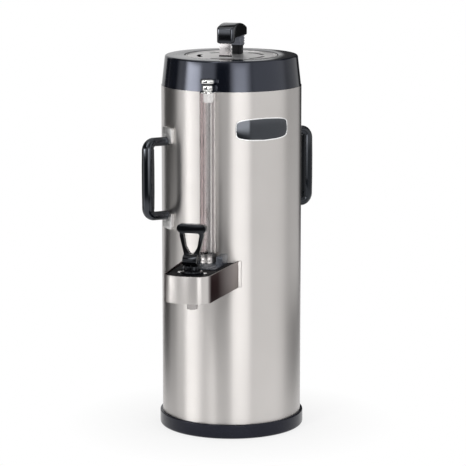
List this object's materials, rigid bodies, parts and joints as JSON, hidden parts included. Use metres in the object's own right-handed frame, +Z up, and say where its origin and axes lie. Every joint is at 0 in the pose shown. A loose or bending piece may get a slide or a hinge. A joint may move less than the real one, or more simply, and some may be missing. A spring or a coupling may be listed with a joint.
{
  "type": "thermal coffee dispenser",
  "caption": "Tall free-standing steel coffee dispenser with an insulated vessel, lift-off lid, side handles, sight gauge and a self-closing lever faucet in a steel shroud.",
  "frame": {"origin": "on the axis of the steel tube, in the plane of the counter that the foot ring rests on", "axes": "+Z up along the tube; -Y to the front, where the faucet, the spout and the sight gauge are; +X to the right of a person who faces the faucet"},
  "size_m": [0.224, 0.3622, 0.6297],
  "materials": {
    "shell_steel": "satin, upright grain",
    "bright_steel": "polished",
    "inner_steel": "satin",
    "fastener_steel": "satin",
    "gloss_black": "gloss",
    "black_plastic": "satin",
    "black_rubber": "matte",
    "silicone": "matte",
    "clear_shield": "clear gloss",
    "gauge_glass": "clear gloss"
  },
  "bodies": {
    "dispenser": {"outer_shell": "shell_steel", "base_pan": "gloss_black", "foot_ring": "black_rubber", "base_screws": "fastener_steel", "vessel_stand": "inner_steel", "vacuum_jacket": "inner_steel", "liner": "inner_steel", "neck_seal": "silicone", "top_collar": "gloss_black", "outlet_pipe": "inner_steel", "shell_bush": "black_rubber", "gauge_block": "gloss_black", "gauge_seat": "bright_steel", "gauge_washer": "silicone", "gauge_glass": "gauge_glass", "gauge_shield": "clear_shield", "gauge_cap": "bright_steel", "cap_ring": "black_rubber", "coupling_nut": "bright_steel", "coupling_gasket": "silicone", "faucet_body": "black_plastic", "faucet_bonnet": "black_plastic", "spout_tip": "bright_steel", "valve_spring": "inner_steel", "faucet_shroud": "shell_steel", "shroud_deck": "gloss_black", "deck_screws": "fastener_steel", "left_handle": "gloss_black", "right_handle": "gloss_black", "left_upper_bracket": "shell_steel", "left_lower_bracket": "shell_steel", "right_upper_bracket": "shell_steel", "right_lower_bracket": "shell_steel", "handle_screws": "fastener_steel"},
    "stem": {"valve_stem": "inner_steel", "seat_cup": "silicone", "lever_pin": "inner_steel"},
    "lever": {"faucet_lever": "black_plastic"},
    "lid": {"lid_plate": "bright_steel", "lid_plug": "black_plastic", "lid_gasket": "silicone", "lid_post": "black_plastic", "lid_grip": "black_plastic", "lid_screws": "fastener_steel"}
  },
  "joints": [
    {"name": "stem_lift", "type": "slide", "parent": "dispenser", "child": "stem", "axis": [0, 0, 1], "range_m": [0, 0.0043], "stiffness_N_per_m": 3800, "deforming": ["valve_spring"]},
    {"name": "lever_tilt", "type": "hinge", "parent": "stem", "child": "lever", "pos_m": [0, -0.198, 0.2969], "axis": [1, 0, 0], "range_deg": [0, 38]},
    {"name": "lid_lift", "type": "slide", "parent": "dispenser", "child": "lid", "axis": [0, 0, 1], "range_m": [0, 0.15]}
  ],
  "couplings": [
    {"joint": "lever_tilt", "follows": "stem_lift", "rad_per_m": 153.85}
  ]
}
